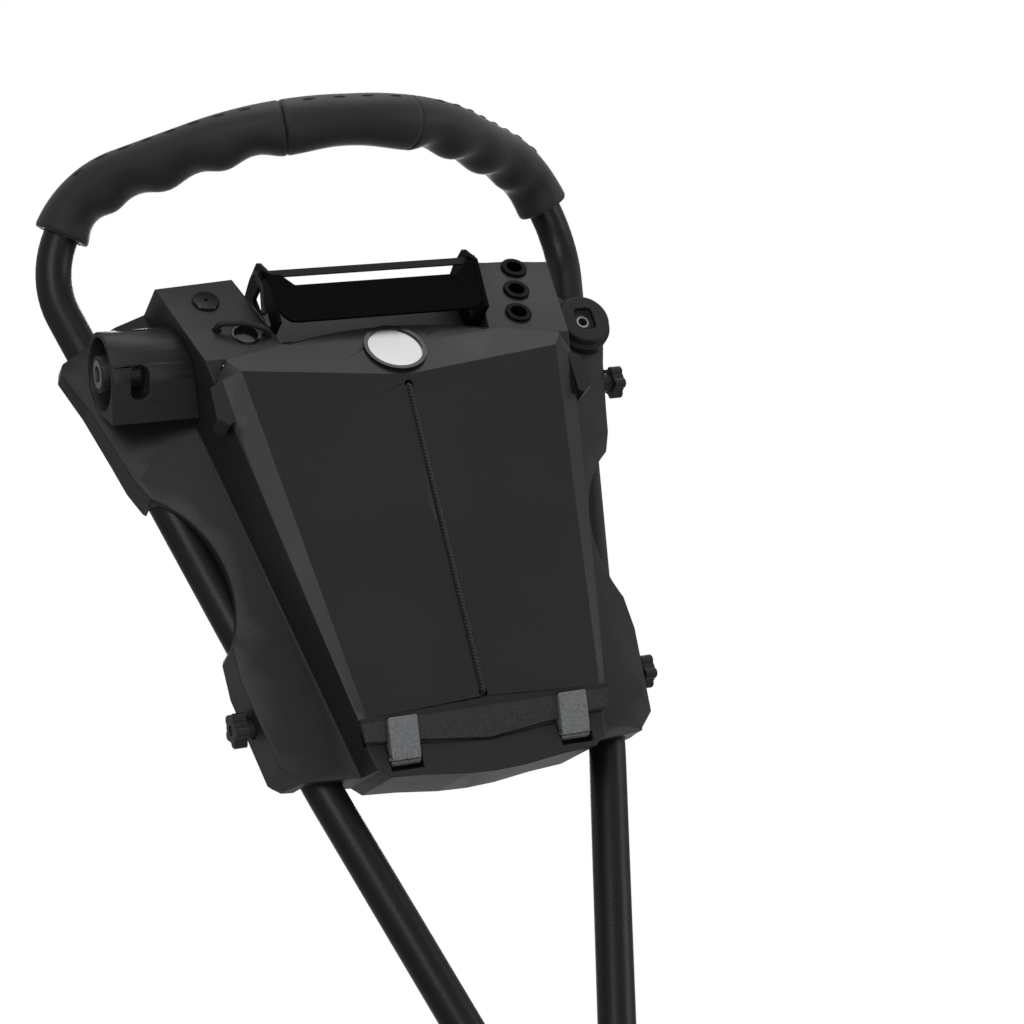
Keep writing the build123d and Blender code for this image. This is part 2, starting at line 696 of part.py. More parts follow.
def cup_mount(blank):
    x, y, z = CUP
    boss = rod_y(x, z, y + 6.0, 10.0, CUP_R + 2.5) - blank
    boss = boss & (front_prism(console_face()) + slab(120, 220, -60, -5.8, 440, 520))
    boss = boss.solids().sort_by(Axis.Y)[0]
    disc = rod_y(x, z, y, y + 6.0, CUP_R)
    disc = chamfer(disc.edges().filter_by(GeomType.CIRCLE).sort_by(Axis.Y)[0], 0.8)
    recess = fillet(Box(13, 8, 16).edges().filter_by(Axis.Y), 3.0)
    body = boss + disc - Pos(x, y, z) * recess
    return body - rod_y(x, z, y, y + 12.0, CUP_INSERT_R)


def cup_insert():
    x, y, z = CUP
    bush = rod_y(x, z, y + 4.5, y + 10.5, CUP_INSERT_R)
    return bush - rod_y(x, z, y, y + 30, CUP_BORE_R)


# ------------------------------------------------------------------ back panel, screws, knobs, nuts
def back_panel():
    def points(z):
        half = crease_x(z) + 4.8
        return [(half, BACK_Y), (half, BACK_Y + PANEL_T), (-half, BACK_Y + PANEL_T), (-half, BACK_Y)]
    panel = ruled(points, 204.0, 478.0)
    for side in (1, -1):
        cup = rod_y(side * 66, 396, BACK_Y - 8, BACK_Y, 24) - rod_y(side * 66, 396, BACK_Y - 9, BACK_Y - 1.5, 21.5)
        lobe = rod_y(side * 78, 372, BACK_Y - 6, BACK_Y, 9) - rod_y(side * 78, 372, BACK_Y - 9, BACK_Y - 1.5, 6.5)
        lobe = lobe - rod_y(side * 66, 396, BACK_Y - 9, BACK_Y, 24)
        inside = slab(-crease_x(360) + 4, crease_x(360) - 4, -60, 60, 340, 430)
        panel = panel + (cup & inside) + (lobe & inside)
        for z in SCREW_Z:
            panel = panel - rod_y(side * (crease_x(z) + 1.0), z, BACK_Y - 1, BACK_Y + 9, SCREW_R)
    panel = panel - slab(-26, 26, -60, 60, 448, 462)
    return panel


def panel_screw(side, z):
    x = side * (crease_x(z) + 1.0)
    top = BACK_Y + PANEL_T
    head = rod_y(x, z, top, top + 1.8, 3.2)
    head = fillet(head.edges().filter_by(GeomType.CIRCLE).sort_by(Axis.Y)[-1], 0.9)
    shank = rod_y(x, z, top - 10.5, top, SCREW_R)
    slot_a = Pos(x, top + 1.6, z) * Box(3.4, 1.6, 0.8)
    slot_b = Pos(x, top + 1.6, z) * Box(0.8, 1.6, 3.4)
    return head + shank - slot_a - slot_b


def star_knob(side, level):
    """Five-lobed head, collar and stud."""
    z = KNOB_Z[level]
    x, y = leg_at(z)
    face = KNOB_FACE[level]
    with BuildSketch() as sk:
        Circle(8.2)
        with PolarLocations(7.4, 5, start_angle=90):
            Circle(3.4)
    head = extrude(sk.sketch, amount=8.0)
    head = chamfer(head.faces().sort_by(Axis.Z)[-1].edges(), 0.8)
    head = head - Pos(0, 0, 8.0) * Cylinder(3.2, 1.6)
    head = head + Pos(0, 0, -3.0) * Cylinder(COLLAR_R, 6.0)
    stud = Pos(0, 0, -(face - x) / 2) * Cylinder(STUD_R, face - x + 6.0 - 0.6)
    knob = Pos(face + 6.4, y, z) * Rot(0, 90, 0) * (head + Pos(0, 0, -3.0) * stud)
    return knob if side > 0 else mirror(knob, about=Plane.YZ)


def rivet_nut(side, level):
    """Threaded nut pressed into the outer wall of the tube."""
    z = KNOB_Z[level]
    x, y = leg_at(z)
    nut = rod_x(x + 2.0, x + 11.0, y, z, NUT_R) - rod_x(x, x + 30, y, z, STUD_R + RUN)
    return nut if side > 0 else mirror(nut, about=Plane.YZ)


# ------------------------------------------------------------------ assembly
def build():
    tube_and_plugs()
    grips()
    blank = console_blank()
    save("console_body", bored(hollowed(blank)))
    save("back_panel", back_panel())
    save("panel_screws", Compound(children=[panel_screw(s, z) for s in (1, -1) for z in SCREW_Z]))
    save("lid_shell", lid_shell())
    save("hinge_lugs", Compound(children=[hinge_lug(1), hinge_lug(-1)]))
    pins = [rod_x(s * (LUG_X - PIN_HALF), s * (LUG_X + PIN_HALF), HINGE_Y, HINGE_Z, PIN_R) for s in (1, -1)]
    save("hinge_pins", Compound(children=pins))
    ring = on_pad(RING_SPOT, 0.4) * (Cylinder(RING_R, 3.6) - Pos(0, 0, 1.0) * Cylinder(DISC_R, 3.6))
    save("lid_ring", ring)
    save("lid_disc", on_pad(RING_SPOT, 0.35) * Cylinder(DISC_R, 1.4))
    save("lid_cord", lid_cord())
    save("catch_magnets", Compound(children=[magnet(1), magnet(-1)]))
    save("lid_strikers", Compound(children=[striker(1), striker(-1)]))
    save("scorecard_tray", scorecard_tray())
    save("scorecard_band", scorecard_band())
    save("ball_elastic", ball_elastic())
    save("ball_cup", ball_cup())
    save("pin_cap", pin_cap())
    save("tee_rings", Compound(children=[tee_ring(spot) for spot in TEE_SPOTS]))
    save("umbrella_socket", umbrella_socket(blank))
    save("umbrella_insert", umbrella_insert())
    save("cup_mount", cup_mount(blank))
    save("cup_insert", cup_insert())
    for side, level in CLAMPS:
        word = "right" if side > 0 else "left"
        save(f"knob_{level}_{word}", star_knob(side, level))
    nuts = [rivet_nut(side, level) for side, level in CLAMPS]
    save("clamp_nuts", Compound(children=nuts))
    for name, shape in PARTS.items():
        export_step(shape, f"parts/{name}.step")
    print(len(PARTS), "nodes")


build()
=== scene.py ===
# %% [markdown]
# # Push-cart handle and console
#
# This file dresses the handle of a golf push cart: one bent tube with three rubber grips, and
# a moulded console with a lid, a card holder, tee holes, an umbrella barrel and a cup-holder
# mount.  The shapes that carry load come from the frame.  This file adds the finishes, the
# sculpted grips and the twisted cords.
#
# The frame is loaded first and nothing in it is moved.

# %% Load the frame
import bpy
import bmesh
from math import cos, pi, radians, sin, sqrt, tan
from mathutils import Matrix, Vector


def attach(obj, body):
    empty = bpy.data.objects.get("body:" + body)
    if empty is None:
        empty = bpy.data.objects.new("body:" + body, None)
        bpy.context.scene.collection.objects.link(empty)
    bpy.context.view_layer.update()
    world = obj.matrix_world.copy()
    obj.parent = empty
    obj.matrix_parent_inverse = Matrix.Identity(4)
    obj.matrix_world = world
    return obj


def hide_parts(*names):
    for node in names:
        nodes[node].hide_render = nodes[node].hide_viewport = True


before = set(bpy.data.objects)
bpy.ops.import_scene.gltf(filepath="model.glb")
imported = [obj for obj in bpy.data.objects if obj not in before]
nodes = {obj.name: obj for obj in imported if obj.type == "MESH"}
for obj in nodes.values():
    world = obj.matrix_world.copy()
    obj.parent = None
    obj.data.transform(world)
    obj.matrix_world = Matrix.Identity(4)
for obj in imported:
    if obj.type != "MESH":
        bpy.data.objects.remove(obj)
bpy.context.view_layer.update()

# %% [markdown]
# ## Where things are
#
# The two legs lie in one flat panel that leans back from upright.  It is far easier to think
# in that panel, with X across, Y to the back and Z up the panel, in millimetres, and to lean
# each finished point back at the end.  `lean` does that and turns millimetres into metres.

# %% The leaning panel
LEAN = radians(40.4)
MM = 0.001


def lean(x, y, z):
    """Point of the upright panel, in millimetres, to its place in metres."""
    return Vector((x, y * cos(LEAN) + z * sin(LEAN), -y * sin(LEAN) + z * cos(LEAN))) * MM


# %% [markdown]
# ## Camera, light and floor
#
# The camera stands low on the left and looks slightly down.  It is placed by its azimuth,
# elevation and distance from a point inside the object, because those three numbers say more
# than a matrix does.  A long lens keeps the legs nearly parallel.

# %% Camera
AIM = Vector((0.05625, 0.18153, 0.27868))
CAMERA_AZIMUTH = radians(-25.37)
CAMERA_ELEVATION = radians(13.914)
CAMERA_DISTANCE = 1.5768
LENS = 91.94

camera_data = bpy.data.cameras.new("camera")
camera_data.lens = LENS
camera_data.sensor_width = 36.0
camera = bpy.data.objects.new("camera", camera_data)
bpy.context.scene.collection.objects.link(camera)
back = Vector((sin(CAMERA_AZIMUTH) * cos(CAMERA_ELEVATION),
               -cos(CAMERA_AZIMUTH) * cos(CAMERA_ELEVATION),
               sin(CAMERA_ELEVATION)))
camera.location = AIM + back * CAMERA_DISTANCE
camera.rotation_mode = "QUATERNION"
camera.rotation_quaternion = (-back).to_track_quat("-Z", "Y")
bpy.context.scene.camera = camera
print("camera at", [round(v, 3) for v in camera.location])

# %% [markdown]
# Black plastic shows its form only through reflections, so the lights are large and soft: a
# broad panel above and to the left, a weaker one on the right, a low one in front that lifts
# the lid's lower edge, and a low one behind for the back panel.  The walls and the floor are
# white to the camera and dimmer to the plastic.  The floor is far below, where a cart's
# wheels would stand.

# %% Lights and floor
LIGHTS = {
    "key": (Vector((-1.6, -1.5, 2.3)), 1.6, 30.0),
    "top": (Vector((0.4, 0.9, 2.4)), 1.8, 20.0),
    "side": (Vector((2.2, -0.9, 1.0)), 1.4, 13.0),
    "front": (Vector((-0.4, -2.4, 0.2)), 1.4, 13.0),
    "rear": (Vector((0.9, 2.6, 0.1)), 1.8, 48.0),
}
WALLS = 0.55                # how bright the studio's walls look in the plastic
FLOOR_Z = -0.75
FLOOR_R = 60.0

for name, (place, size, watts) in LIGHTS.items():
    lamp = bpy.data.lights.new(name, "AREA")
    lamp.shape = "DISK"
    lamp.size = size
    lamp.energy = watts
    holder = bpy.data.objects.new(name, lamp)
    holder.location = place
    holder.rotation_mode = "QUATERNION"
    holder.rotation_quaternion = (AIM - place).to_track_quat("-Z", "Y")
    bpy.context.scene.collection.objects.link(holder)



def seen_white(tree, dim, leave):
    """White to the camera's own rays, and the dim shader to every other ray."""
    white = tree.nodes.new("ShaderNodeEmission")
    path = tree.nodes.new("ShaderNodeLightPath")
    blend = tree.nodes.new("ShaderNodeMixShader")
    tree.links.new(path.outputs["Is Camera Ray"], blend.inputs[0])
    tree.links.new(dim.outputs[0], blend.inputs[1])
    tree.links.new(white.outputs["Emission"], blend.inputs[2])
    tree.links.new(blend.outputs[0], leave.inputs["Surface"])


world = bpy.data.worlds.new("studio")
world.use_nodes = True
studio = world.node_tree
studio.nodes["Background"].inputs["Color"].default_value = (1.0, 1.0, 1.0, 1.0)
studio.nodes["Background"].inputs["Strength"].default_value = WALLS
seen_white(studio, studio.nodes["Background"], studio.nodes["World Output"])
bpy.context.scene.world = world
bpy.context.scene.view_settings.view_transform = "Standard"

floor_mesh = bmesh.new()
bmesh.ops.create_circle(floor_mesh, cap_ends=True, segments=64, radius=FLOOR_R)
floor_data = bpy.data.meshes.new("floor")
floor_mesh.to_mesh(floor_data)
floor_mesh.free()
floor_data.transform(Matrix.Translation((0, 0, FLOOR_Z)))
floor = bpy.data.objects.new("floor", floor_data)
bpy.context.scene.collection.objects.link(floor)
paper = bpy.data.materials.new("studio paper")
paper.use_nodes = True
matt = paper.node_tree.nodes["Principled BSDF"]
matt.inputs["Base Color"].default_value = (0.40, 0.40, 0.40, 1.0)
matt.inputs["Roughness"].default_value = 0.9
seen_white(paper.node_tree, matt, paper.node_tree.nodes["Material Output"])
floor_data.materials.append(paper)

# %% [markdown]
# ## Finishes
#
# Every black part is a different black.  What tells moulded plastic from rubber or from
# powder-coated tube is the grain: how coarse it is, how deep, and how much it scatters the
# light.  One shader group, *moulded grain*, makes a fine pebbled height, and slow patches
# that shift the colour and roughness a little.  Each finish places it with its own values.

# %% Shader group: moulded grain


def socket(tree, name, kind, direction, value=None):
    item = tree.interface.new_socket(name=name, in_out=direction, socket_type=kind)
    if value is not None:
        item.default_value = value
    return item


def add(tree, kind, **values):
    """New node with its settings and input values."""
    node = tree.nodes.new(kind)
    for key, value in values.items():
        if hasattr(node, key):
            setattr(node, key, value)
        else:
            node.inputs[key.replace("_", " ")].default_value = value
    return node


def grain_group():
    tree = bpy.data.node_groups.new("moulded grain", "ShaderNodeTree")
    socket(tree, "Vector", "NodeSocketVector", "INPUT")
    socket(tree, "Grain size", "NodeSocketFloat", "INPUT", 900.0)
    socket(tree, "Patch size", "NodeSocketFloat", "INPUT", 14.0)
    socket(tree, "Height", "NodeSocketFloat", "OUTPUT")
    socket(tree, "Patches", "NodeSocketFloat", "OUTPUT")
    entry = tree.nodes.new("NodeGroupInput")
    leave = tree.nodes.new("NodeGroupOutput")
    pebble = add(tree, "ShaderNodeTexVoronoi", feature="SMOOTH_F1", Smoothness=0.6)
    rough = add(tree, "ShaderNodeTexNoise", Detail=3.0)
    blend = add(tree, "ShaderNodeMix", data_type="FLOAT", Factor=0.45)
    patch = add(tree, "ShaderNodeTexNoise", Detail=2.0)
    link = tree.links.new
    for texture in (pebble, rough, patch):
        link(entry.outputs["Vector"], texture.inputs["Vector"])
    link(entry.outputs["Grain size"], pebble.inputs["Scale"])
    link(entry.outputs["Grain size"], rough.inputs["Scale"])
    link(entry.outputs["Patch size"], patch.inputs["Scale"])
    link(pebble.outputs["Distance"], blend.inputs[2])
    link(rough.outputs["Fac"], blend.inputs[3])
    link(blend.outputs[0], leave.inputs["Height"])
    link(patch.outputs["Fac"], leave.inputs["Patches"])
    return tree


GRAIN = grain_group()
print("group", GRAIN.name)

# %% [markdown]
# A finish is built by one helper.  Colour and roughness each run between two close values
# with the slow patches, and the grain goes through a Bump node.  Numbers that are the same
# all over the surface, such as the sheen, are set on the shader itself.

# %% Helper: a grained finish


def finish(name, dark, light, rough, grain, depth, patch=14.0, metallic=0.0, coat=0.0, sheen=0.0,
           gloss=0.25):
    """Material with moulded grain; dark and light are linear grey or colour values."""
    material = bpy.data.materials.new(name)
    material.use_nodes = True
    tree = material.node_tree
    shader = tree.nodes["Principled BSDF"]
    shader.inputs["Metallic"].default_value = metallic
    shader.inputs["Coat Weight"].default_value = coat
    shader.inputs["Sheen Weight"].default_value = sheen
    shader.inputs["Specular IOR Level"].default_value = gloss
    place = tree.nodes.new("ShaderNodeTexCoord")
    group = tree.nodes.new("ShaderNodeGroup")
    group.node_tree = GRAIN
    group.inputs["Grain size"].default_value = grain
    group.inputs["Patch size"].default_value = patch
    colour = tree.nodes.new("ShaderNodeMix")
    colour.data_type = "RGBA"
    colour.inputs[6].default_value = (*dark, 1.0)
    colour.inputs[7].default_value = (*light, 1.0)
    spread = tree.nodes.new("ShaderNodeMapRange")
    spread.inputs["From Min"].default_value = 0.3
    spread.inputs["From Max"].default_value = 0.7
    spread.inputs["To Min"].default_value = rough[0]
    spread.inputs["To Max"].default_value = rough[1]
    bump = tree.nodes.new("ShaderNodeBump")
    bump.inputs["Strength"].default_value = 1.0
    bump.inputs["Distance"].default_value = depth
    link = tree.links.new
    link(place.outputs["Object"], group.inputs["Vector"])
    link(group.outputs["Patches"], colour.inputs["Factor"])
    link(colour.outputs[2], shader.inputs["Base Color"])
    link(group.outputs["Patches"], spread.inputs["Value"])
    link(spread.outputs["Result"], shader.inputs["Roughness"])
    link(group.outputs["Height"], bump.inputs["Height"])
    link(bump.outputs["Normal"], shader.inputs["Normal"])
    return material


def grey(value, tint=0.04):
    """Slightly cool grey."""
    return (value * (1 - tint), value, value * (1 + tint))


# %% [markdown]
# ### Moulded plastics
#
# The console is an injection moulding with a fine satin leather grain.  The lid is smoother
# and catches a broad soft highlight.  The hinge lugs and the chin between them have a much
# coarser spark grain that glitters.

# %% Plastics
MOULDING = finish("console satin grain", grey(0.009), grey(0.012), (0.42, 0.50), 900.0, 0.00010)
LID = finish("lid soft satin", grey(0.008), grey(0.011), (0.38, 0.45), 1300.0, 0.00005, patch=9.0)
COARSE = finish("lug spark grain", grey(0.05), grey(0.17), (0.30, 0.42), 520.0, 0.0006,
                patch=700.0, gloss=0.5)
TRAY = finish("card holder plastic", grey(0.0015), grey(0.0025), (0.36, 0.44), 1100.0, 0.00005,
              gloss=0.04)
RING = finish("polished black ring", grey(0.006), grey(0.008), (0.16, 0.22), 1500.0, 0.00002)
KNOB = finish("knob plastic", grey(0.010), grey(0.014), (0.38, 0.46), 1000.0, 0.00008)
PANEL = finish("back panel grain", grey(0.008), grey(0.011), (0.48, 0.56), 650.0, 0.00020)
PLUG = finish("leg plug plastic", grey(0.008), grey(0.011), (0.5, 0.58), 800.0, 0.00010)

# %% [markdown]
# ### Tube, grips and cords
#
# Powder coat on the tube has a slight orange peel: a low, wide bump under an even gloss.
# Rubber is rougher and scatters light at grazing angles, which a little sheen gives.

# %% Tube and rubber
TUBE = finish("tube powder coat", grey(0.005), grey(0.007), (0.34, 0.40), 420.0, 0.00012, gloss=0.2)
RUBBER = finish("grip rubber", grey(0.008), grey(0.012), (0.52, 0.62), 1100.0, 0.00010, sheen=0.10)
ELASTIC = finish("elastic band", grey(0.006), grey(0.010), (0.55, 0.65), 1600.0, 0.00012)
CORD = finish("twisted cord fibre", grey(0.006), grey(0.011), (0.6, 0.72), 2600.0, 0.00025, sheen=0.1)

# %% [markdown]
# The lid's cord and the elastic over the ball hole are laid from strands.  On the lid's cord,
# slanting bands a strand's width apart show the lay: a raised height on each strand, and painted
# shade that darkens the grooves between them.

# %% Lay of the cords
STRAND_BANDS = 210.0


def twisted(material, dark, light, depth):
    tree = material.node_tree
    place = tree.nodes.new("ShaderNodeTexCoord")
    bands = tree.nodes.new("ShaderNodeTexWave")
    bands.bands_direction = "DIAGONAL"
    bands.inputs["Scale"].default_value = STRAND_BANDS
    bands.inputs["Distortion"].default_value = 0.6
    # The colour runs from dark in the grooves to light on the strands: painted shade between the
    # strands.
    shade = tree.nodes.new("ShaderNodeMix")
    shade.data_type = "RGBA"
    shade.inputs[6].default_value = (*dark, 1.0)
    shade.inputs[7].default_value = (*light, 1.0)
    shader = tree.nodes["Principled BSDF"]
    bump = shader.inputs["Normal"].links[0].from_node
    bump.inputs["Distance"].default_value = depth
    tree.links.new(place.outputs["Object"], bands.inputs["Vector"])
    tree.links.new(bands.outputs["Fac"], shade.inputs["Factor"])
    tree.links.new(shade.outputs[2], shader.inputs["Base Color"])
    tree.links.new(bands.outputs["Fac"], bump.inputs["Height"])


# The dark value is the painted shade in the cord's grooves; the light value is the strands.
twisted(CORD, grey(0.003), grey(0.016), 0.0004)

# %% [markdown]
# The lid's lower lip has the lugs' coarse grain, the rest of the lid the fine one.  The lip
# is everything below one height up the panel, so a dot product with the panel's own up
# direction makes the mask.

# %% Coarse grain on the lid's lip
LIP_TOP = 206.6
GRAIN_BLUR = 0.2


def coarse_below(material, height, dark, light, grain, depth_share):
    tree = material.node_tree
    link = tree.links.new
    shader = tree.nodes["Principled BSDF"]
    bump = shader.inputs["Normal"].links[0].from_node
    fine_height = bump.inputs["Height"].links[0].from_socket
    fine_colour = shader.inputs["Base Color"].links[0].from_socket
    place = tree.nodes.new("ShaderNodeTexCoord")
    up = tree.nodes.new("ShaderNodeVectorMath")
    up.operation = "DOT_PRODUCT"
    up.inputs[1].default_value = (0.0, sin(LEAN), cos(LEAN))
    mask = tree.nodes.new("ShaderNodeMapRange")
    mask.inputs["From Min"].default_value = (height - GRAIN_BLUR) * MM
    mask.inputs["From Max"].default_value = (height + GRAIN_BLUR) * MM
    mask.inputs["To Min"].default_value = 1.0
    mask.inputs["To Max"].default_value = 0.0
    coarse = tree.nodes.new("ShaderNodeGroup")
    coarse.node_tree = GRAIN
    coarse.inputs["Grain size"].default_value = grain
    coarse.inputs["Patch size"].default_value = grain
    speckle = tree.nodes.new("ShaderNodeMix")
    speckle.data_type = "RGBA"
    speckle.inputs[6].default_value = (*dark, 1.0)
    speckle.inputs[7].default_value = (*light, 1.0)
    colour = tree.nodes.new("ShaderNodeMix")
    colour.data_type = "RGBA"
    raised = tree.nodes.new("ShaderNodeMath")
    raised.operation = "MULTIPLY"
    raised.inputs[1].default_value = depth_share
    relief = tree.nodes.new("ShaderNodeMix")
    link(place.outputs["Object"], up.inputs[0])
    link(place.outputs["Object"], coarse.inputs["Vector"])
    link(up.outputs["Value"], mask.inputs["Value"])
    link(coarse.outputs["Patches"], speckle.inputs["Factor"])
    link(mask.outputs["Result"], colour.inputs["Factor"])
    link(fine_colour, colour.inputs[6])
    link(speckle.outputs[2], colour.inputs[7])
    link(colour.outputs[2], shader.inputs["Base Color"])
    link(coarse.outputs["Height"], raised.inputs[0])
    link(mask.outputs["Result"], relief.inputs["Factor"])
    link(fine_height, relief.inputs[2])
    link(raised.outputs["Value"], relief.inputs[3])
    link(relief.outputs[0], bump.inputs["Height"])


coarse_below(LID, LIP_TOP, grey(0.005), grey(0.036), 700.0, 8.0)

# %% [markdown]
# ### Metals
#
# The small disc in the lid is brushed steel.  Screws, pins, magnets and nuts are zinc plated,
# and the two bushes are turned aluminium.  The same grain group serves, stretched very fine.

# %% Metals
STEEL = finish("brushed disc", (0.30, 0.30, 0.30), (0.38, 0.38, 0.375), (0.30, 0.38), 1800.0, 0.00003,
               metallic=1.0)
ZINC = finish("zinc hardware", (0.42, 0.43, 0.45), (0.55, 0.56, 0.57), (0.26, 0.36), 1500.0, 0.00003,
              metallic=1.0)
BUSH = finish("turned bush", (0.30, 0.31, 0.32), (0.42, 0.43, 0.44), (0.3, 0.4), 1400.0, 0.00003,
              metallic=1.0)

NODE_FINISH = {
    "handle_tube": TUBE, "leg_plug_left": PLUG, "leg_plug_right": PLUG,
    "console_body": MOULDING, "umbrella_socket": MOULDING, "cup_mount": MOULDING,
    "back_panel": PANEL, "lid_shell": LID, "hinge_lugs": COARSE,
    "lid_ring": RING, "ball_cup": RING, "pin_cap": RING,
    "lid_disc": STEEL, "panel_screws": ZINC, "hinge_pins": ZINC, "catch_magnets": ZINC,
    "lid_strikers": ZINC, "clamp_nuts": ZINC, "umbrella_insert": BUSH, "cup_insert": BUSH,
    "scorecard_tray": TRAY, "tee_rings": TRAY, "scorecard_band": ELASTIC,
    "lid_cord": CORD, "ball_elastic": ELASTIC,
    "knob_lower_left": KNOB, "knob_lower_right": KNOB,
    "knob_upper_right": KNOB,
    "grip_left": RUBBER, "grip_middle": RUBBER, "grip_right": RUBBER,
}
for name, material in NODE_FINISH.items():
    slots = nodes[name].material_slots
    if len(slots) == 0:
        nodes[name].data.materials.append(material)
    for entry in nodes[name].material_slots:
        entry.material = material
print(len(NODE_FINISH), "nodes finished")

# %% [markdown]
# ## Rounded edges
#
# A moulding never has a knife edge: each edge has a small radius that draws a thin line of
# light.  The frame's meshes have sharp edges, so two live modifiers finish them: Weld joins
# the loose triangles, and Bevel rounds every edge that turns by more than thirty degrees.

# %% Edge rounding
EDGE_ANGLE = radians(32)
EDGE_RADIUS = {
    "console_body": 0.7, "lid_shell": 0.25, "umbrella_socket": 0.7, "cup_mount": 0.6,
    "scorecard_tray": 0.5, "hinge_lugs": 0.8, "back_panel": 0.8,
}
for name, radius in EDGE_RADIUS.items():
    weld = nodes[name].modifiers.new("join triangles", "WELD")
    weld.merge_threshold = 0.00001
    bevel = nodes[name].modifiers.new("round edges", "BEVEL")
    bevel.width = radius * MM
    bevel.segments = 2
    bevel.limit_method = "ANGLE"
    bevel.angle_limit = EDGE_ANGLE
    bevel.use_clamp_overlap = False
    bevel.harden_normals = True
    bevel.miter_outer = "MITER_ARC"

# %% [markdown]
# ## Backs of the lug notches
#
# Behind each hinge lug the chin has a thin upright web that closes the notch.  The two webs
# are plates with rounded edges, set just inside the chin.

# %% Webs behind the lugs
LUG_X = 53.5
WEB_HALF = 10.6
WEB_FRONT = -31.6
WEB_BACK = -29.4
WEB_FOOT = 178.6
WEB_TOP = 206.0


def web(name, side):
    mesh = bmesh.new()
    ring = []
    for y, z in ((WEB_FRONT, WEB_FOOT), (WEB_BACK, WEB_FOOT), (WEB_BACK, WEB_TOP), (WEB_FRONT, WEB_TOP)):
        ring.append([mesh.verts.new(lean(side * LUG_X + x, y, z)) for x in (-WEB_HALF, WEB_HALF)])
    for a, b in zip(ring, ring[1:] + ring[:1]):
        mesh.faces.new((a[0], a[1], b[1], b[0]))
    for end in (0, 1):
        mesh.faces.new([pair[end] for pair in ring])
    bmesh.ops.recalc_face_normals(mesh, faces=mesh.faces)
    bmesh.ops.bevel(mesh, geom=mesh.edges[:], offset=0.3 * MM, segments=2, affect="EDGES")
    data = bpy.data.meshes.new(name)
    mesh.to_mesh(data)
    mesh.free()
    data.materials.append(MOULDING)
    plate = bpy.data.objects.new(name, data)
    bpy.context.scene.collection.objects.link(plate)
    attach(plate, "handle")


web("notch_web_right", 1)
web("notch_web_left", -1)

# %% [markdown]
# ## Grips
#
# Each grip is a thick rubber sleeve that was slid on to the bow.  Its upper side is plain and
# round; its lower side has hollows for the fingers.  That is a rule - a radius that depends on
# the place along the bow and on the angle round it - so the sleeve is made ring by ring.
#
# The bow's centre line comes first: straight runs joined by arcs, from its few corners.

# %% The bow's centre line
TUBE_R = 11.1
LEG_FOOT = Vector((30.78, 0.0, -20.0))
LEG_BEND = Vector((91.0, 0.0, 187.0))
BOW_SIDE = Vector((188.7, 8.3, 592.2))
BOW_FRONT = Vector((53.0, -100.0, 577.7))
BEND_RADII = (300.0, 58.0, 130.0)


def rounded(corners, radii, step):
    """Points along straight runs joined by arcs of the given radii, a step apart."""
    line = [corners[0]]
    for before, corner, after, radius in zip(corners, corners[1:], corners[2:], radii):
        into = (corner - before).normalized()
        out = (after - corner).normalized()
        turn = into.angle(out)
        reach = radius * tan(turn / 2)
        start = corner - into * reach
        inward = (out - into * out.dot(into)).normalized()
        centre = start + inward * radius
        count = max(2, int(radius * turn / step))
        for i in range(count + 1):
            a = turn * i / count
            line.append(centre - inward * radius * cos(a) + into * radius * sin(a))
    line.append(corners[-1])
    return line


def spaced(line, step):
    """The same line with points evenly spaced."""
    out = [line[0].copy()]
    left = step
    for a, b in zip(line, line[1:]):
        length = (b - a).length
        done = 0.0
        while length - done >= left:
            done += left
            out.append(a.lerp(b, done / length))
            left = step
        left -= length - done
    return out


def flipped(p):
    return Vector((-p.x, p.y, p.z))


half = [LEG_FOOT, LEG_BEND, BOW_SIDE, BOW_FRONT]
corners = half + [flipped(p) for p in reversed(half)]
STEP = 1.5
bow = spaced(rounded(corners, BEND_RADII + BEND_RADII[::-1], STEP), STEP)
print("bow of", round(len(bow) * STEP), "mm")

# %% [markdown]
# The hollows face the palm's side, down and a little to the back.  A hollow's depth falls off
# round the sleeve as a power of a cosine, and along it as a raised cosine, so the crests
# between the fingers stay soft.

# %% Sculpted grips
GRIP_R = 17.2
GRIP_END_Z = 560.0
GRIP_END_X = 165.0
SEAM_HALF = 41.0
RIM = 1.1
RING_POINTS = 64
PALM = Vector((0.0, 0.25, -0.97))


def grip_radius(along, angle, hollows, depth, length):
    """Sleeve radius at a distance along it and an angle from the palm side."""
    wave = 0.5 - 0.5 * cos(2 * pi * hollows * along / length)
    fall = max(0.0, cos(angle)) ** 1.6
    radius = GRIP_R - depth * wave * fall
    edge = min(along, length - along)
    if edge < RIM:
        radius -= RIM * 0.6 * (1 - sqrt(1 - ((RIM - edge) / RIM) ** 2))
    return radius


def grip_rings(line, hollows, depth):
    length = (len(line) - 1) * STEP
    outer, inner = [], []
    for i, centre in enumerate(line):
        ahead = (line[min(i + 1, len(line) - 1)] - line[max(i - 1, 0)]).normalized()
        palm = (PALM - ahead * PALM.dot(ahead)).normalized()
        side = ahead.cross(palm)
        ring, hole = [], []
        for k in range(RING_POINTS):
            angle = 2 * pi * k / RING_POINTS
            out = palm * cos(angle) + side * sin(angle)
            signed = angle if angle <= pi else 2 * pi - angle
            ring.append(centre + out * grip_radius(i * STEP, signed, hollows, depth, length))
            hole.append(centre + out * (TUBE_R + 0.05))
        outer.append(ring)
        inner.append(hole)
    return outer, inner


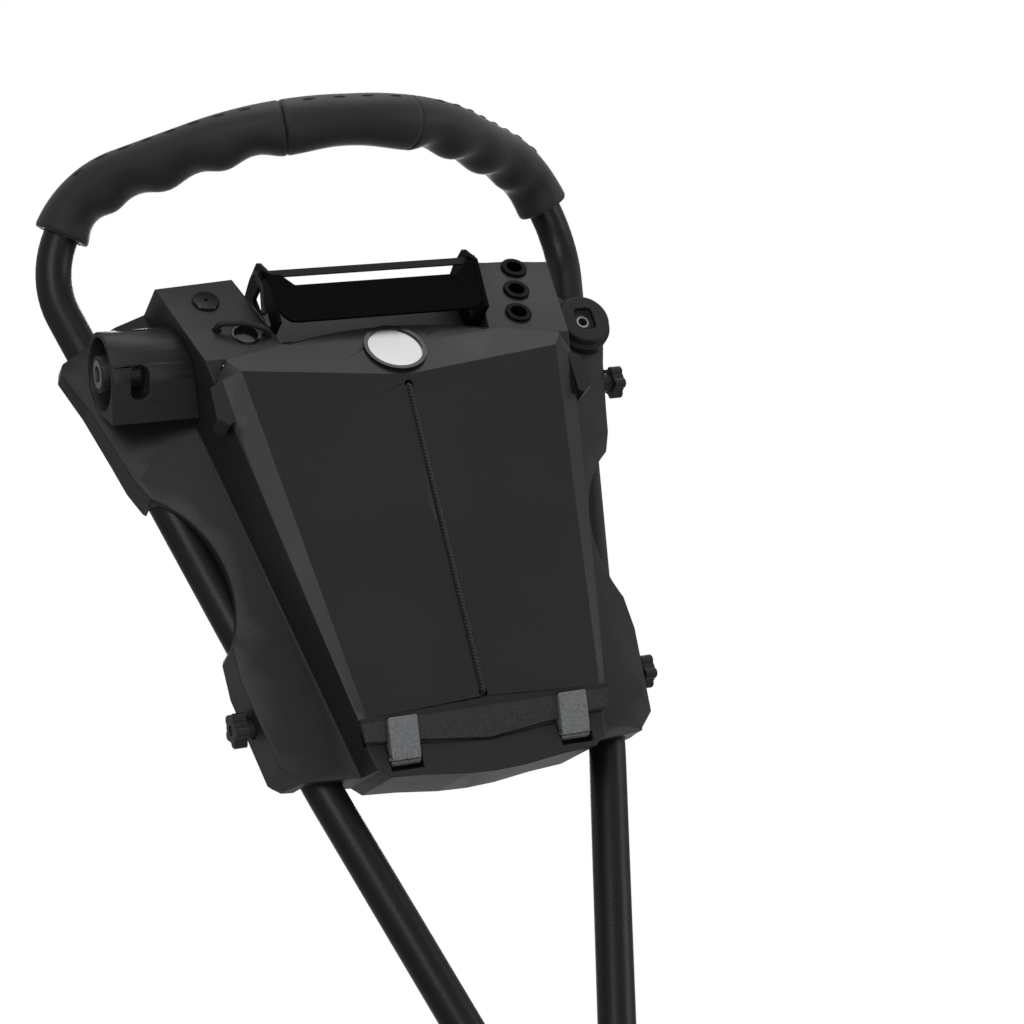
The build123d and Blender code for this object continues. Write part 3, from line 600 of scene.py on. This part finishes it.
def sleeve(name, line, hollows, depth):
    """Closed rubber sleeve: outer skin, bore and the two end faces."""
    outer, inner = grip_rings(line, hollows, depth)
    rings = outer + inner[::-1]
    mesh = bmesh.new()
    rows = [[mesh.verts.new(lean(*p)) for p in ring] for ring in rings]
    for a, b in zip(rows, rows[1:] + rows[:1]):
        for k in range(RING_POINTS):
            j = (k + 1) % RING_POINTS
            mesh.faces.new((a[k], a[j], b[j], b[k]))
    bmesh.ops.recalc_face_normals(mesh, faces=mesh.faces)
    data = bpy.data.meshes.new(name)
    mesh.to_mesh(data)
    mesh.free()
    for polygon in data.polygons:
        polygon.use_smooth = True
    data.materials.append(RUBBER)
    piece = bpy.data.objects.new(name, data)
    bpy.context.scene.collection.objects.link(piece)
    return piece


first = next(i for i, p in enumerate(bow) if p.z > GRIP_END_Z and p.x < GRIP_END_X)
right_seam = next(i for i, p in enumerate(bow) if i > first and p.x < SEAM_HALF)
to_middle = [p for p in bow[right_seam - 1:] if p.x > 0.0]
middle_line = spaced(to_middle + [flipped(p) for p in reversed(to_middle)], STEP)
GRIP_LINES = {
    "right": (bow[first:right_seam], 4, 4.6),
    "middle": (middle_line, 1, 3.0),
    "left": ([flipped(p) for p in bow[first:right_seam]], 4, 4.6),
}
for side, (line, hollows, depth) in GRIP_LINES.items():
    grip = sleeve("rubber_grip_" + side, line, hollows, depth)
    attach(grip, "handle")
    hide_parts("grip_" + side)
    print(grip.name, len(grip.data.polygons), "faces")

# %% [markdown]
# ## Dashes along the grips
#
# A row of short raised dashes runs along the crest of each grip.  Repeats like these are what
# Geometry Nodes are for: a curve along the grip's top is resampled to one point per dash, a
# small rounded bar is placed on each and turned along the curve, and everything is realised.

# %% Geometry node helpers


def geometry_tree(name, inputs):
    tree = bpy.data.node_groups.new(name, "GeometryNodeTree")
    socket(tree, "Geometry", "NodeSocketGeometry", "INPUT")
    for label, (kind, value) in inputs.items():
        socket(tree, label, kind, "INPUT", value)
    socket(tree, "Geometry", "NodeSocketGeometry", "OUTPUT")
    return tree, tree.nodes.new("NodeGroupInput"), tree.nodes.new("NodeGroupOutput")


def set_inputs(modifier, values):
    """Set a modifier's inputs by the identifiers of the tree's sockets."""
    for item in modifier.node_group.interface.items_tree:
        if item.item_type == "SOCKET" and item.in_out == "INPUT" and item.name in values:
            modifier[item.identifier] = values[item.name]


def made_by(tree, name, line, values):
    """Run a tree on a curve through the points of line and keep the plain mesh."""
    curve = bpy.data.curves.new(name + " line", "CURVE")
    curve.dimensions = "3D"
    spline = curve.splines.new("POLY")
    spline.points.add(len(line) - 1)
    for point, p in zip(spline.points, line):
        point.co = (*lean(*p), 1.0)
    source = bpy.data.objects.new(name + " line", curve)
    bpy.context.scene.collection.objects.link(source)
    modifier = source.modifiers.new("make", "NODES")
    modifier.node_group = tree
    set_inputs(modifier, values)
    graph = bpy.context.evaluated_depsgraph_get()
    data = bpy.data.meshes.new_from_object(source.evaluated_get(graph))
    data.name = name
    piece = bpy.data.objects.new(name, data)
    bpy.context.scene.collection.objects.link(piece)
    bpy.data.objects.remove(source)
    print(name, len(data.polygons), "faces")
    return piece


# %% Tree: row of dashes


def dash_tree():
    tree, entry, leave = geometry_tree("row of dashes", {
        "Count": ("NodeSocketInt", 5),
        "Length": ("NodeSocketFloat", 0.009),
        "Width": ("NodeSocketFloat", 0.0022),
        "Material": ("NodeSocketMaterial", None),
    })
    link = tree.links.new
    spread = tree.nodes.new("GeometryNodeResampleCurve")
    tangent = tree.nodes.new("GeometryNodeInputTangent")
    turn = tree.nodes.new("FunctionNodeAlignEulerToVector")
    turn.axis = "Z"
    bar = tree.nodes.new("GeometryNodeMeshUVSphere")
    bar.inputs["Segments"].default_value = 16
    bar.inputs["Rings"].default_value = 10
    bar.inputs["Radius"].default_value = 0.5
    size = tree.nodes.new("ShaderNodeCombineXYZ")
    place = tree.nodes.new("GeometryNodeInstanceOnPoints")
    real = tree.nodes.new("GeometryNodeRealizeInstances")
    smooth = tree.nodes.new("GeometryNodeSetShadeSmooth")
    paint = tree.nodes.new("GeometryNodeSetMaterial")
    link(entry.outputs["Geometry"], spread.inputs["Curve"])
    link(entry.outputs["Count"], spread.inputs["Count"])
    link(spread.outputs["Curve"], place.inputs["Points"])
    link(bar.outputs["Mesh"], place.inputs["Instance"])
    link(tangent.outputs["Tangent"], turn.inputs["Vector"])
    link(turn.outputs["Rotation"], place.inputs["Rotation"])
    link(entry.outputs["Width"], size.inputs["X"])
    link(entry.outputs["Width"], size.inputs["Y"])
    link(entry.outputs["Length"], size.inputs["Z"])
    link(size.outputs["Vector"], place.inputs["Scale"])
    link(place.outputs["Instances"], real.inputs["Geometry"])
    link(real.outputs["Geometry"], smooth.inputs["Geometry"])
    link(smooth.outputs["Geometry"], paint.inputs["Geometry"])
    link(entry.outputs["Material"], paint.inputs["Material"])
    link(paint.outputs["Geometry"], leave.inputs["Geometry"])
    return tree


DASHES = dash_tree()
DASH_COUNT = {"right": 8, "middle": 4, "left": 8}
DASH_SHARE = {"right": (0.22, 0.90), "middle": (0.15, 0.85), "left": (0.22, 0.90)}
CREST = Vector((0.0, -0.88, 0.48))      # the side of a grip that faces the user


def crest_line(line, lift):
    """Points on a grip's crest, out from its centre line by lift."""
    top = []
    for before, p, after in zip(line, line[1:], line[2:]):
        ahead = (after - before).normalized()
        top.append(p + (CREST - ahead * CREST.dot(ahead)).normalized() * lift)
    return top


for side, (line, hollows, depth) in GRIP_LINES.items():
    low, high = [int(share * (len(line) - 1)) for share in DASH_SHARE[side]]
    top = crest_line(line[low:high], GRIP_R - 0.3)
    values = {"Count": DASH_COUNT[side], "Length": 9.0 * MM, "Width": 2.2 * MM, "Material": RUBBER}
    row = made_by(DASHES, "grip_dashes_" + side, top, values)
    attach(row, "handle")
